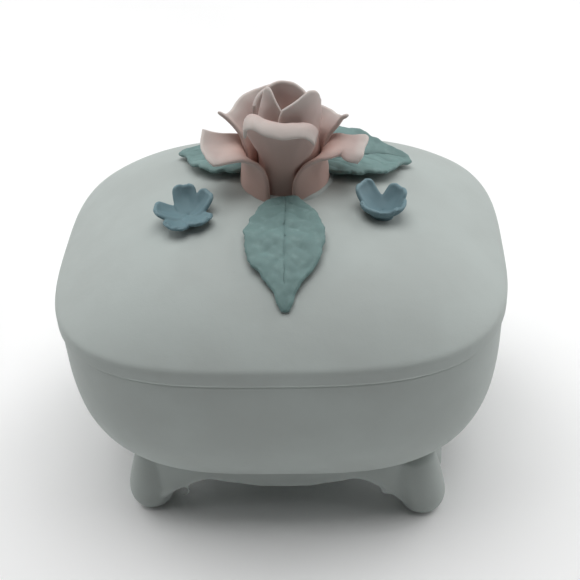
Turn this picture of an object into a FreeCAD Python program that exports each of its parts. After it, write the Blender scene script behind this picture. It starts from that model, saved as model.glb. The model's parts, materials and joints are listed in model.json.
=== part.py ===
"""Vanity trinket box in unglazed bisque porcelain: a footed bowl with a lift-off domed lid.

The plan of the bowl and of the lid is a superellipse. The lid has a dished underside and a locating
flange that drops into the mouth of the bowl. A hand-built rose, three leaves and two small five-petalled
flowers are luted to the lid's top.

Frame: millimetres, +Z up, the feet stand on Z = 0, and the origin is midway between them. +X is to the
right of someone facing the box, and -Y is towards them.
"""

import math
import os

import FreeCAD
import Part

V = FreeCAD.Vector

# ---- driving dimensions --------------------------------------------------------------------------------
LID_HALF_X = 42.0  # half the lid's width
LID_HALF_Y = 37.0  # half the lid's depth
PLAN_POWER = 3.2  # exponent of the superellipse that both plans follow
PLAN_POLES = 40  # spline poles round a plan outline

SEAM_Z = 42.3  # where the lid rests on the bowl's rim
EDGE_EASE = 0.45  # small bevel along the rim and along the lid's lower edge
LID_BAND = 2.2  # upright part of the lid's edge
LID_SOFT = 2.0  # radius of the lid's upper edge
LID_TURN = 50.0  # degrees that this edge turns through before it runs into the dome
LID_SHOULDER = LID_SOFT * (1 - math.cos(math.radians(LID_TURN)))  # how far in the dome starts
LID_BROW_Z = SEAM_Z + LID_BAND + LID_SOFT * math.sin(math.radians(LID_TURN))  # and how high
DOME_RISE = 12.1  # from there to the crown
DOME_POWER = 2.85  # how flat the dome is at its crown
LID_WALL = 2.8
CROWN_CAP = 0.07  # share of the dome closed by a small flat cap under the rose

BOWL_OVERHANG = 0.5  # how far the lid's edge stands out past the bowl
BOWL_WALL = 3.0
BOWL_UPRIGHT_Z = 36.0  # above this height its side goes straight up
BOWL_FLOOR_Z = 12.4  # where the bowl's side turns under
BOWL_UNDER_Z = 10.6  # the flat underside
BOWL_INSET = 8.2  # how far the side has come in at BOWL_FLOOR_Z
BOWL_POWER = 3.8  # how late the side turns in
FLOOR_WALL = 3.2

FLANGE_DROP = 3.6
FLANGE_WALL = 2.0
FLANGE_GAP = 0.6  # between the flange and the mouth of the bowl

STAND_HALF_X = 30.2  # outer face of the stand's skirt
STAND_HALF_Y = 27.6
STAND_POWER = 5.0  # its plan is squarer than the bowl's
STAND_WALL = 2.8
STAND_TOP_Z = 16.0  # trimmed back to the bowl's underside
APRON_SPAN_LEFT = 25.8  # from the middle of the front and back aprons to their feet, at the ground
APRON_SPAN_RIGHT = 23.4
APRON_SPAN_SIDE = 21.0  # the same along the two sides
APRON_APEX_Z = 9.2  # top of the arch beside each foot
APRON_MIDDLE_Z = 7.1  # the shallow drop in the middle of each apron
FEET = [  # where each foot's middle meets the ground; they were set by hand and are not quite square
    (-26.9, -23.1),
    (26.4, -24.9),
    (26.7, 24.0),
    (-26.7, 24.0),
]
FOOT_SECTIONS = [  # height, drawn in towards the middle in x and in y, radius
    (0.0, 0.0, 0.0, 2.3),
    (0.5, 0.0, 0.0, 3.2),
    (1.6, 0.0, 0.1, 4.1),
    (4.0, 0.1, 0.4, 4.7),
    (8.0, 0.8, 0.9, 4.7),
    (12.0, 1.8, 1.9, 4.5),
    (STAND_TOP_Z, 2.3, 2.6, 4.9),
]

ROSE_X = 1.5  # the rose's centre on the lid
ROSE_Y = 3.8
ROSE_SINK = 0.5  # how deep the luted pieces bed into the lid
CORE_FOOT = 3.4  # radii of the clay cone inside the bud
CORE_HEAD = 1.4
CORE_TALL = 12.0
COLLAR_RADIUS = 7.4  # the ring of slip round the rose
COLLAR_BEAD = 1.0
PETAL_THICK = 0.9
EXTRA_POWER = 1.6  # how late across a petal the extra lean of its edge sets in
LEAF_THICK = 1.2
GRID = 15  # spline poles across and along a petal or leaf
PATH_STEPS = 40  # steps along a petal's path


# ---- helpers -------------------------------------------------------------------------------------------
def curve(table, t):
    """Value at t of a smooth curve through a table of (place, value)."""
    t = min(max(t, table[0][0]), table[-1][0])
    k = next(i for i in range(1, len(table)) if t <= table[i][0])
    (x1, y1), (x2, y2) = table[k - 1], table[k]
    x0, y0 = table[max(k - 2, 0)]
    x3, y3 = table[min(k + 1, len(table) - 1)]
    span = x2 - x1
    slope1, slope2 = span * (y2 - y0) / (x2 - x0), span * (y3 - y1) / (x3 - x1)
    s = (t - x1) / span
    value = (2 * s**3 - 3 * s**2 + 1) * y1 + (s**3 - 2 * s**2 + s) * slope1
    return value + (3 * s**2 - 2 * s**3) * y2 + (s**3 - s**2) * slope2


def plan_point(half_x, half_y, angle, power=PLAN_POWER):
    """Point of the superellipse in the direction angle."""
    c, s = math.cos(angle), math.sin(angle)
    reach = (abs(c) ** power + abs(s) ** power) ** (-1.0 / power)
    return half_x * reach * c, half_y * reach * s


def plan_wire(half_x, half_y, z, power=PLAN_POWER):
    """Closed smooth outline at height z."""
    poles = []
    for i in range(PLAN_POLES):
        x, y = plan_point(half_x, half_y, 2 * math.pi * i / PLAN_POLES, power)
        poles.append(V(x, y, z))
    curve = Part.BSplineCurve()
    curve.buildFromPoles(poles, True, 3)
    return Part.Wire([curve.toShape()])


def plan_loft(sections, half_x=LID_HALF_X, half_y=LID_HALF_Y, power=PLAN_POWER, straight=False):
    """Solid through (inset, z) sections, each one the plan outline drawn in by its inset."""
    wires = [plan_wire(half_x - inset, half_y - inset, z, power) for inset, z in sections]
    return Part.makeLoft(wires, True, straight)


def lid_height(x, y):
    """Height of the lid's top above the ground at (x, y)."""
    half_x, half_y = LID_HALF_X - LID_SHOULDER, LID_HALF_Y - LID_SHOULDER
    share = (abs(x / half_x) ** PLAN_POWER + abs(y / half_y) ** PLAN_POWER) ** (1 / PLAN_POWER)
    return LID_BROW_Z + DOME_RISE * (1 - share**DOME_POWER)


def pole_face(poles, degree):
    """Face of a spline surface that is cubic along its rows and of the given degree across them."""
    counts = []
    for number, power in ((len(poles), degree), (len(poles[0]), 3)):
        counts.append([power + 1] + [1] * (number - power - 1) + [power + 1])
    knots = [list(range(len(mults))) for mults in counts]
    surface = Part.BSplineSurface()
    surface.buildFromPolesMultsKnots(poles, *counts, *knots, False, False, degree, 3)
    return surface.toShape()


def skin(outer, inner):
    """Solid between two matching grids of spline poles, closed by ruled strips along their four sides."""
    faces = [pole_face(outer, 3), pole_face(inner, 3)]
    for k in (0, -1):
        faces.append(pole_face([outer[k], inner[k]], 1))
        faces.append(pole_face([[row[k] for row in outer], [row[k] for row in inner]], 1))
    shell = Part.makeShell(faces)
    shell.sewShape(0.001)
    solid = Part.makeSolid(Part.Shell(shell.Faces))
    if solid.Volume < 0:
        solid.reverse()
    return solid


def thicken(point, thick):
    """Solid of a surface point(u, v), u from -1 to 1 and v from 0 to 1, thickened against its normal."""
    step = 0.01
    outer, inner = [], []
    for i in range(GRID):
        outer_row, inner_row = [], []
        for j in range(GRID):
            u, v = -1 + 2 * i / (GRID - 1), j / (GRID - 1)
            across = point(u + step, v) - point(u - step, v)
            along = point(u, v + step) - point(u, v - step)
            normal = across.cross(along)
            normal.normalize()
            outer_row.append(point(u, v))
            inner_row.append(point(u, v) - normal * thick)
        outer.append(outer_row)
        inner.append(inner_row)
    return skin(outer, inner)


# ---- bowl ----------------------------------------------------------------------------------------------
def bowl_inset(z):
    """How far the bowl's side is inside the lid's outline at height z."""
    depth = (SEAM_Z - z) / (SEAM_Z - BOWL_FLOOR_Z)
    return BOWL_OVERHANG + (BOWL_INSET - BOWL_OVERHANG) * max(0.0, depth) ** BOWL_POWER


def bowl_outside():
    """The bowl as if it were solid."""
    rim_z = SEAM_Z - EDGE_EASE
    side = [(BOWL_INSET + 2.8, BOWL_UNDER_Z), (BOWL_INSET + 1.0, BOWL_FLOOR_Z - 1.0)]
    side += [(bowl_inset(z), z) for z in (BOWL_FLOOR_Z, 14.0, 16.0, 19.0, 23.0, 28.0, 32.0, BOWL_UPRIGHT_Z)]
    rim = [(bowl_inset(BOWL_UPRIGHT_Z), BOWL_UPRIGHT_Z)]
    rim += [(BOWL_OVERHANG, rim_z), (BOWL_OVERHANG + EDGE_EASE, SEAM_Z)]
    return plan_loft(side).fuse(plan_loft(rim, straight=True))


def bowl_cavity():
    """The space inside the bowl, open at the rim."""
    floor_z = BOWL_UNDER_Z + FLOOR_WALL
    side = [(BOWL_INSET + BOWL_WALL + 2.0, floor_z), (BOWL_INSET + BOWL_WALL - 0.8, floor_z + 2.0)]
    side += [(bowl_inset(z) + BOWL_WALL, z) for z in (18.5, 21.0, 24.0, 28.0, 32.0, BOWL_UPRIGHT_Z)]
    mouth = [(bowl_inset(z) + BOWL_WALL, z) for z in (BOWL_UPRIGHT_Z, SEAM_Z, SEAM_Z + 1.0)]
    return plan_loft(side).fuse(plan_loft(mouth, straight=True))


# ---- stand ---------------------------------------------------------------------------------------------
APRON = [  # share of the way from an apron's middle to its foot, height of its lower edge
    (0.0, APRON_MIDDLE_Z),
    (0.10, APRON_MIDDLE_Z + 0.15),
    (0.20, APRON_MIDDLE_Z + 0.2),
    (0.34, APRON_MIDDLE_Z + 0.95),
    (0.47, APRON_MIDDLE_Z + 1.5),
    (0.58, APRON_APEX_Z),
    (0.70, APRON_APEX_Z - 1.0),
    (0.84, 0.60 * APRON_APEX_Z),
    (0.94, 0.26 * APRON_APEX_Z),
    (1.0, -1.0),
]


def apron_cutter(span_left, span_right, reach):
    """Prism through two facing aprons: an arch beside each foot, a shallow scalloped drop between them."""
    points = [V(-share * span_left, -reach, z) for share, z in reversed(APRON[1:])]
    points += [V(share * span_right, -reach, z) for share, z in APRON]
    curve = Part.BSplineCurve()
    curve.interpolate(points)
    closing = Part.LineSegment(points[-1], points[0])
    face = Part.Face(Part.Wire([curve.toShape(), closing.toShape()]))
    return face.extrude(V(0, 2 * reach, 0))


def make_foot(foot_x, foot_y):
    """Rounded toe at one corner, swelling outwards and standing on a small flat."""
    wires = []
    for z, in_x, in_y, radius in FOOT_SECTIONS:
        centre = V(foot_x - math.copysign(in_x, foot_x), foot_y - math.copysign(in_y, foot_y), z)
        wires.append(Part.Wire([Part.makeCircle(radius, centre, V(0, 0, 1))]))
    return Part.makeLoft(wires, True, False)


def make_stand(bowl_outside):
    """Skirt and four toes in one piece, cut to fit the bowl's underside."""
    flare = [(-0.5, -0.5), (-0.4, 4.0), (0.0, 9.0), (0.4, STAND_TOP_Z)]
    stand = plan_loft(flare, STAND_HALF_X, STAND_HALF_Y, STAND_POWER)
    for foot_x, foot_y in FEET:
        stand = stand.fuse(make_foot(foot_x, foot_y))
    stand = stand.cut(Part.makeBox(100, 100, 1, V(-50, -50, -1)))
    inside = [(inset + STAND_WALL, z) for inset, z in flare]
    inside[0] = (flare[0][0] + STAND_WALL, -1.0)
    stand = stand.cut(plan_loft(inside, STAND_HALF_X, STAND_HALF_Y, STAND_POWER))
    stand = stand.cut(apron_cutter(APRON_SPAN_LEFT, APRON_SPAN_RIGHT, 50))
    side_cutter = apron_cutter(APRON_SPAN_SIDE, APRON_SPAN_SIDE, 50)
    side_cutter.rotate(V(0, 0, 0), V(0, 0, 1), 90)
    stand = stand.cut(side_cutter)
    return stand.cut(bowl_outside)


# ---- lid -----------------------------------------------------------------------------------------------
def dome_section(half_x, half_y, share, base_z):
    """Outline of a dome over the given plan where it has come in to share of it."""
    return plan_wire(half_x * share, half_y * share, base_z + DOME_RISE * (1 - share**DOME_POWER))


def make_lid():
    edge_z = SEAM_Z + LID_BAND
    band = [(EDGE_EASE, SEAM_Z), (0.0, SEAM_Z + EDGE_EASE), (0.0, edge_z)]
    wires = []
    for share in (0.0, 0.35, 0.7):
        turn = math.radians(LID_TURN * share)
        inset = LID_SOFT * (1 - math.cos(turn))
        wires.append(plan_wire(LID_HALF_X - inset, LID_HALF_Y - inset, edge_z + LID_SOFT * math.sin(turn)))
    half_x, half_y = LID_HALF_X - LID_SHOULDER, LID_HALF_Y - LID_SHOULDER
    for share in (1.0, 0.95, 0.88, 0.79, 0.66, 0.52, 0.38, 0.24, CROWN_CAP):
        wires.append(dome_section(half_x, half_y, share, LID_BROW_Z))
    solid = plan_loft(band, straight=True).fuse(Part.makeLoft(wires, True, False))

    skirt = LID_SHOULDER + LID_WALL + 1.8
    hollow_top = SEAM_Z + 0.9
    hollow = plan_loft([(skirt, SEAM_Z - 1.0), (skirt, hollow_top)], straight=True)
    half_x, half_y = LID_HALF_X - skirt, LID_HALF_Y - skirt
    shares = (1.0, 0.95, 0.87, 0.76, 0.62, 0.46)
    wires = [dome_section(half_x, half_y, share, hollow_top) for share in shares]
    wires += [dome_section(half_x, half_y, share, hollow_top) for share in (0.28, CROWN_CAP)]
    solid = solid.cut(hollow.fuse(Part.makeLoft(wires, True, False)))

    mouth = BOWL_OVERHANG + BOWL_WALL + FLANGE_GAP
    bore = mouth + FLANGE_WALL
    low_z = SEAM_Z - FLANGE_DROP
    top_z = SEAM_Z + 1.4
    sections = [(mouth + EDGE_EASE, low_z), (mouth, low_z + EDGE_EASE), (mouth, top_z)]
    ring = plan_loft(sections, straight=True)
    ring = ring.cut(plan_loft([(bore, low_z - 1), (bore, top_z + 1)], straight=True))
    return solid.fuse(ring)


# ---- rose ----------------------------------------------------------------------------------------------
# Each petal's tables, in millimetres, degrees and shares of its length and half-width. "lean" is how far
# it leans out from upright along its length, and lean_minus and lean_plus add to that towards its clockwise
# and its anticlockwise edge. "minus" and "plus" are the half-widths to those edges ("edges" when both are
# the same), and "crest" is how long it is from edge to edge.
PETALS = {
    "rose_bud_petal_left": {
        "bearing": 229, "base": 4.4, "length": 20.6, "wrap": 5.4,
        "lean": [(0, 0), (0.3, -1), (1, -7)],
        "edges": [(0, 4.8), (0.5, 5.0), (0.8, 4.8), (1, 4.2)],
        "crest": [
            (-1, 0.66), (-0.7, 0.82), (-0.45, 0.93), (-0.2, 1.0),
            (0.0, 0.99), (0.3, 0.9), (0.65, 0.78), (1, 0.66),
        ],
    },
    "rose_bud_petal_right": {
        "bearing": -36, "base": 4.9, "length": 19.6, "wrap": 6.6,
        "lean": [(0, 5), (0.5, 6), (0.85, 5), (1, 8)],
        "edges": [(0, 5.4), (0.5, 6.2), (0.85, 6.6), (1, 6.2)],
        "crest": [
            (-1, 0.94), (-0.7, 1.02), (-0.4, 1.08), (-0.1, 1.08),
            (0.2, 1.02), (0.4, 0.95), (0.7, 0.84), (1, 0.72),
        ],
    },
    "rose_bud_petal_back": {
        "bearing": 98, "base": 5.0, "length": 17.4, "wrap": 6.0,
        "lean": [(0, 0), (0.3, 2), (1, 9)],
        "edges": [(0, 5.6), (0.6, 6.2), (1, 6.4)],
        "crest": [
            (-1, 0.84), (-0.75, 0.92), (-0.4, 0.98), (0, 1.0),
            (0.4, 0.98), (0.75, 0.92), (1, 0.84),
        ],
    },
    "rose_outer_petal_front": {
        "bearing": -96, "base": 7.0, "length": 21.4, "wrap": 8.5,
        "lean": [(0, -6), (0.2, -5), (0.45, 2), (0.68, 12), (0.78, 30), (0.87, 85), (1, 150)],
        "minus": [
            (0, 4.4), (0.2, 3.6), (0.38, 3.3), (0.5, 4.3),
            (0.62, 5.9), (0.74, 6.8), (0.88, 7.0), (1, 6.6),
        ],
        "plus": [
            (0, 4.0), (0.2, 3.0), (0.36, 2.7), (0.46, 3.8),
            (0.56, 5.6), (0.68, 7.0), (0.84, 7.4), (1, 7.0),
        ],
        "crest": [
            (-1, 0.82), (-0.85, 0.96), (-0.6, 1.02), (-0.3, 0.98), (0.15, 0.95),
            (0.5, 0.93), (0.75, 0.9), (0.9, 0.83), (1, 0.74),
        ],
    },
    "rose_outer_petal_low_left": {
        "bearing": 198, "base": 8.3, "length": 15.6, "wrap": 9.0,
        "lean": [(0, -6), (0.25, -5), (0.42, 12), (0.56, 58), (0.7, 80), (0.86, 76), (1, 66)],
        "lean_minus": [(0, 0), (0.5, -3), (1, -9)],
        "lean_plus": [(0, 0), (0.5, 4), (1, 14)],
        "minus": [(0, 5.0), (0.5, 5.0), (0.8, 4.6), (1, 4.6)],
        "plus": [(0, 7.6), (0.3, 7.2), (0.45, 6.6), (0.6, 5.4), (0.8, 4.6), (1, 4.6)],
        "crest": [(-1, 1.04), (-0.8, 1.02), (-0.3, 0.98), (0.3, 0.97), (0.8, 0.98), (1, 0.96)],
    },
    "rose_outer_petal_low_right": {
        "bearing": -14, "base": 7.5, "length": 16.0, "wrap": 8.8,
        "lean": [(0, -6), (0.25, -5), (0.42, 14), (0.56, 62), (0.7, 84), (0.84, 82), (1, 84)],
        "lean_minus": [(0, 0), (0.5, 4), (0.8, 12), (1, 30)],
        "lean_plus": [(0, 0), (0.5, -3), (1, 0)],
        "minus": [
            (0, 9.4), (0.3, 8.4), (0.45, 7.2), (0.58, 5.4), (0.67, 4.4),
            (0.74, 2.4), (0.8, 3.6), (0.9, 4.4), (1, 4.0),
        ],
        "plus": [(0, 5.0), (0.5, 4.6), (0.7, 3.7), (1, 3.3)],
        "crest": [(-1, 0.95), (-0.7, 1.0), (0, 0.98), (0.6, 1.0), (0.85, 0.98), (1, 0.93)],
    },
    "rose_outer_petal_back_left": {
        "bearing": 152, "base": 6.4, "length": 17.0, "wrap": 9.0,
        "lean": [(0, -2), (0.25, 0), (0.6, 20), (1, 40)],
        "lean_minus": [(0, 0), (0.5, -4), (1, -14)],
        "lean_plus": [(0, 0), (0.5, 6), (0.8, 14), (1, 18)],
        "minus": [(0, 5.0), (0.5, 6.2), (1, 7.6)],
        "plus": [(0, 5.8), (0.45, 5.2), (0.65, 5.2), (0.82, 6.0), (1, 7.2)],
        "crest": [(-1, 0.94), (-0.3, 0.9), (0.2, 0.86), (0.55, 0.87), (0.8, 0.94), (1, 1.04)],
    },
    "rose_outer_petal_back_right": {
        "bearing": 26, "base": 6.6, "length": 16.0, "wrap": 9.0,
        "lean": [(0, -2), (0.25, 0), (0.6, 20), (1, 42)],
        "lean_minus": [(0, 0), (0.5, 5), (0.8, 11), (0.92, 20), (1, 80)],
        "lean_plus": [(0, 0), (0.5, -4), (1, -12)],
        "minus": [(0, 5.6), (0.45, 4.8), (0.65, 4.7), (0.82, 5.8), (1, 7.0)],
        "plus": [(0, 5.0), (0.5, 6.0), (1, 7.0)],
        "crest": [(-1, 1.06), (-0.8, 0.97), (-0.5, 0.87), (-0.1, 0.8), (0.4, 0.8), (1, 0.85)],
    },
}


def petal_path(p, u):
    """Points (distance from the rose's axis, height) up the petal at u, evenly spaced along its length."""
    extra = p.get("lean_plus" if u > 0 else "lean_minus")
    step = p["length"] * curve(p["crest"], u) / PATH_STEPS
    path = [(p["base"], 0.0)]
    for k in range(PATH_STEPS + PATH_STEPS // 4):
        v = (k + 0.5) / PATH_STEPS
        angle = curve(p["lean"], v)
        if extra:
            angle += curve(extra, v) * min(1.0, abs(u)) ** EXTRA_POWER
        r, z = path[-1]
        path.append((r + step * math.sin(math.radians(angle)), z + step * math.cos(math.radians(angle))))
    return path


def petal_surface(p):
    """The outer face of a petal as a function of u and v.

    At each u the petal follows its path in an upright plane. Across, it is an arc of radius wrap.
    """
    bearing = math.radians(p["bearing"])
    out = V(math.cos(bearing), math.sin(bearing), 0)
    side = V(-math.sin(bearing), math.cos(bearing), 0)
    origin = V(ROSE_X, ROSE_Y, lid_height(ROSE_X, ROSE_Y) - ROSE_SINK)

    def point(u, v):
        path = petal_path(p, u)
        at = min(max(v, 0.0) * PATH_STEPS, len(path) - 1.001)
        share = at - int(at)
        low, high = path[int(at)], path[int(at) + 1]
        r = low[0] * (1 - share) + high[0] * share
        z = low[1] * (1 - share) + high[1] * share
        half = curve(p.get("plus" if u > 0 else "minus") or p["edges"], v)
        turn = u * half / p["wrap"]
        r_arc = r - p["wrap"] * (1 - math.cos(turn))
        return origin + out * r_arc + side * (p["wrap"] * math.sin(turn)) + V(0, 0, z)

    return point


def make_rose_core():
    """Clay cone that the bud petals are wrapped round."""
    base_z = lid_height(ROSE_X, ROSE_Y) - ROSE_SINK
    cone = Part.makeCone(CORE_FOOT, CORE_HEAD, CORE_TALL, V(ROSE_X, ROSE_Y, base_z))
    return cone.fuse(Part.makeSphere(CORE_HEAD, V(ROSE_X, ROSE_Y, base_z + CORE_TALL))).removeSplitter()


def make_rose_collar():
    """Ring of slip squeezed out where the rose is luted to the lid."""
    base_z = lid_height(ROSE_X, ROSE_Y) - ROSE_SINK
    ring = Part.makeTorus(COLLAR_RADIUS, COLLAR_BEAD, V(ROSE_X, ROSE_Y, base_z + 0.35))
    disc = Part.makeCylinder(COLLAR_RADIUS, 1.2, V(ROSE_X, ROSE_Y, base_z - 0.3))
    return ring.fuse(disc).removeSplitter()


# ---- leaves --------------------------------------------------------------------------------------------
# sweep is how far the tip bends to the right of the bearing, raise_left how far the left edge is raised
LEAVES = {
    "leaf_front": {
        "bearing": -90.0, "start": 7.8, "length": 25.0, "half": 7.0, "sweep": -0.4, "lift": 1.1,
        "level": 0.0, "raise_left": 0.0,
    },
    "leaf_back_right": {
        "bearing": 27.0, "start": 4.5, "length": 20.0, "half": 7.6, "sweep": 3.4, "lift": 1.7,
        "level": 0.75, "raise_left": 1.8,
    },
    "leaf_back_left": {
        "bearing": 152.0, "start": 4.0, "length": 20.4, "half": 6.5, "sweep": 0.0, "lift": 1.7,
        "level": 0.6, "raise_left": 0.0,
    },
}
LEAF_WIDTHS = [  # share of the length from the stalk, half-width as a share of the widest
    (0.0, 0.32),
    (0.14, 0.62),
    (0.27, 0.87),
    (0.42, 1.0),
    (0.55, 0.99),
    (0.67, 0.90),
    (0.76, 0.70),
    (0.84, 0.46),
    (0.90, 0.28),
    (0.95, 0.20),
    (1.0, 0.09),
]


def leaf_surface(leaf):
    """The top face of a leaf that starts under the rose and reaches out over the lid."""
    bearing = math.radians(leaf["bearing"])
    out_x, out_y = math.cos(bearing), math.sin(bearing)

    def point(u, v):
        v = max(v, 0.0)
        along = leaf["start"] + leaf["length"] * v
        aside = leaf["sweep"] * v * v
        mid_x, mid_y = ROSE_X + along * out_x + aside * out_y, ROSE_Y + along * out_y - aside * out_x
        across = u * leaf["half"] * curve(LEAF_WIDTHS, v)
        x, y = mid_x + across * out_y, mid_y - across * out_x
        ground = lid_height(x, y) * (1 - leaf["level"]) + lid_height(mid_x, mid_y) * leaf["level"]
        arch = 0.5 * (1 + u * u) * math.sin(math.pi * min(v, 1.0))
        arch += leaf["raise_left"] * max(0.0, -u) * math.sin(math.pi * min(v, 1.0)) ** 0.5
        return V(x, y, ground + leaf["lift"] + arch)

    return point


# ---- small flowers -------------------------------------------------------------------------------------
FLOWERS = {
    "flower_left": {
        "x": -17.1, "y": -7.6, "radius": 5.7, "rise": 3.4,
        "lean": 16.0, "towards": -110.0, "turn": 10.0,
    },
    "flower_right": {
        "x": 18.9, "y": -6.4, "radius": 5.0, "rise": 3.6,
        "lean": 30.0, "towards": 40.0, "turn": 30.0,
    },
}
FLOWER_POLES = 60
FLOWER_WALL = 0.9


def flower_reach(angle, turn):
    """Length of the cup along one of its five lobes, as a share of the longest."""
    lobe = abs(math.cos(2.5 * (angle - math.radians(turn))))
    return 0.66 + 0.34 * lobe**0.7


def flower_ring(flower, share, height, inset, flat):
    """Closed ring round the cup: share of the reach, height as a share of the rise, drawn in by inset."""
    poles = []
    for i in range(FLOWER_POLES):
        angle = 2 * math.pi * i / FLOWER_POLES
        reach = 1.0 if flat else flower_reach(angle, flower["turn"])
        r = flower["radius"] * share * reach - inset
        z = flower["rise"] * height * (1.0 if flat else reach)
        poles.append(V(r * math.cos(angle), r * math.sin(angle), z))
    outline = Part.BSplineCurve()
    outline.buildFromPoles(poles, True, 3)
    return Part.Wire([outline.toShape()])


def make_flower(flower):
    """Cupped blossom of five lobes with its short foot, leaning towards one side."""
    wall = FLOWER_WALL
    rings = [
        flower_ring(flower, 0.26, -0.62, 0, True),
        flower_ring(flower, 0.30, -0.30, 0, True),
        flower_ring(flower, 0.48, 0.02, 0, True),
        flower_ring(flower, 0.74, 0.38, 0, False),
        flower_ring(flower, 0.98, 0.88, 0, False),
        flower_ring(flower, 1.0, 1.0, 0.1, False),
        flower_ring(flower, 0.99, 1.06, 0.45, False),
        flower_ring(flower, 0.96, 1.0, wall * 0.9, False),
        flower_ring(flower, 0.70, 0.58, wall * 0.8, False),
        flower_ring(flower, 0.42, 0.33, wall * 0.6, True),
        flower_ring(flower, 0.12, 0.24, 0, True),
    ]
    cup = Part.makeLoft(rings, True, False)
    towards = math.radians(flower["towards"])
    cup.rotate(V(0, 0, 0), V(-math.sin(towards), math.cos(towards), 0), flower["lean"])
    foot = 0.62 * flower["rise"] - 1.0
    cup.translate(V(flower["x"], flower["y"], lid_height(flower["x"], flower["y"]) + foot))
    return cup


# ---- write ---------------------------------------------------------------------------------------------
def main():
    os.makedirs("parts", exist_ok=True)
    shapes = {
        "base_bowl": bowl_outside().cut(bowl_cavity()),
        "footed_stand": make_stand(bowl_outside()),
        "lid": make_lid(),
        "rose_core": make_rose_core(),
        "rose_collar": make_rose_collar(),
    }
    for name, sizes in PETALS.items():
        shapes[name] = thicken(petal_surface(sizes), PETAL_THICK)
    for name, sizes in LEAVES.items():
        shapes[name] = thicken(leaf_surface(sizes), LEAF_THICK)
    for name, sizes in FLOWERS.items():
        shapes[name] = make_flower(sizes)
    for name, shape in shapes.items():
        state = "valid" if shape.isValid() else "INVALID"
        print(name, state, len(shape.Solids), "solids", round(shape.Volume, 1))
        shape.exportStep("parts/" + name + ".step")


main()
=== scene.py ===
"""Looks of the bisque porcelain trinket box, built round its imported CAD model.

Every piece is mesh code in metres, in the CAD model's own frame: +Z up, feet on Z = 0, and -Y towards the viewer.
"""

import json
import math

import bpy
from mathutils import Matrix, Vector, noise


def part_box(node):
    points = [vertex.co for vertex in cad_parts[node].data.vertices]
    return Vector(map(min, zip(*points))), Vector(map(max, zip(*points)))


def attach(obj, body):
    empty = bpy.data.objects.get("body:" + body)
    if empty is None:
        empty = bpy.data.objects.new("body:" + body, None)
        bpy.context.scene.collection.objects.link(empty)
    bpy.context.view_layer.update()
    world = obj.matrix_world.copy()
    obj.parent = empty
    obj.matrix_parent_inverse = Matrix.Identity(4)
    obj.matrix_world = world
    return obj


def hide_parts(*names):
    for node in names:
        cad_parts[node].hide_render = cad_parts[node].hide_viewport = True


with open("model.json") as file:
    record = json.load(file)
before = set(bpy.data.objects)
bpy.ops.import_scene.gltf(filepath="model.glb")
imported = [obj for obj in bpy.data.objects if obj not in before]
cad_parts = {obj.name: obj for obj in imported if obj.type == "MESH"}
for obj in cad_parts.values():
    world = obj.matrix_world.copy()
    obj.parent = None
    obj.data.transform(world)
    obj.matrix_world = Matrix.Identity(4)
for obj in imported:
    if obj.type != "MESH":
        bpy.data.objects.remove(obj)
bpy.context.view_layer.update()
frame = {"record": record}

MM = 0.001

# ---- sizes taken from the CAD model ---------------------------------------------------------------------------
LID_LOW, LID_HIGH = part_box("lid")
BOWL_LOW, BOWL_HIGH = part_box("base_bowl")
STAND_LOW, STAND_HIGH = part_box("footed_stand")
CORE_LOW, CORE_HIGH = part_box("rose_core")
SEAM_Z = BOWL_HIGH.z
LID_X, LID_Y = LID_HIGH.x, LID_HIGH.y
ROSE = Vector(((CORE_LOW.x + CORE_HIGH.x) / 2, (CORE_LOW.y + CORE_HIGH.y) / 2, CORE_LOW.z))

# ---- sizes of the box, as in the CAD model --------------------------------------------------------------------
PLAN_POWER = 3.2  # exponent of the superellipse that the bowl and the lid follow
LID_BAND = 2.2 * MM  # upright part of the lid's edge
LID_SOFT = 2.0 * MM  # radius of the lid's upper edge
LID_TURN = 50.0  # degrees that this edge turns through before it runs into the dome
LID_SHOULDER = LID_SOFT * (1 - math.cos(math.radians(LID_TURN)))
LID_BROW_Z = SEAM_Z + LID_BAND + LID_SOFT * math.sin(math.radians(LID_TURN))
DOME_RISE = 12.1 * MM
DOME_POWER = 2.85
BOWL_OVERHANG = 0.5 * MM
BOWL_WALL = 3.0 * MM
BOWL_FLOOR_Z = 12.4 * MM
BOWL_INSET = 8.2 * MM
BOWL_POWER = 3.8
FLOOR_WALL = 3.2 * MM
FLANGE_DROP = 3.6 * MM
FLANGE_WALL = 2.0 * MM
FLANGE_GAP = 0.6 * MM
STAND_X, STAND_Y = 30.2 * MM, 27.6 * MM
STAND_POWER = 5.0
STAND_WALL = 2.8 * MM
COLUMNS = 288  # points round a plan outline


# ---- small helpers --------------------------------------------------------------------------------------------
def smooth(t):
    """Rises from 0 to 1 with level ends."""
    t = min(1.0, max(0.0, t))
    return t * t * (3 - 2 * t)


def bump(t):
    """1 at t = 0, falling smoothly to nearly nothing at t = 2."""
    return math.exp(-t * t)


def plan_point(half_x, half_y, angle, power=PLAN_POWER):
    """Point of the superellipse in the direction angle."""
    c, s = math.cos(angle), math.sin(angle)
    reach = (abs(c) ** power + abs(s) ** power) ** (-1.0 / power)
    return half_x * reach * c, half_y * reach * s


def catmull(points, per):
    """Points of a smooth curve through the given ones, per of them on each span."""
    ends = [points[0]] + list(points) + [points[-1]]
    curve = []
    for a, b, c, d in zip(ends, ends[1:], ends[2:], ends[3:]):
        for k in range(per):
            t = k / per
            curve.append(tuple(
                0.5 * (2 * q + (r - p) * t + (2 * p - 5 * q + 4 * r - s) * t * t + (3 * q - p - 3 * r + s) * t**3)
                for p, q, r, s in zip(a, b, c, d)
            ))
    curve.append(tuple(points[-1]))
    return curve


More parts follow.
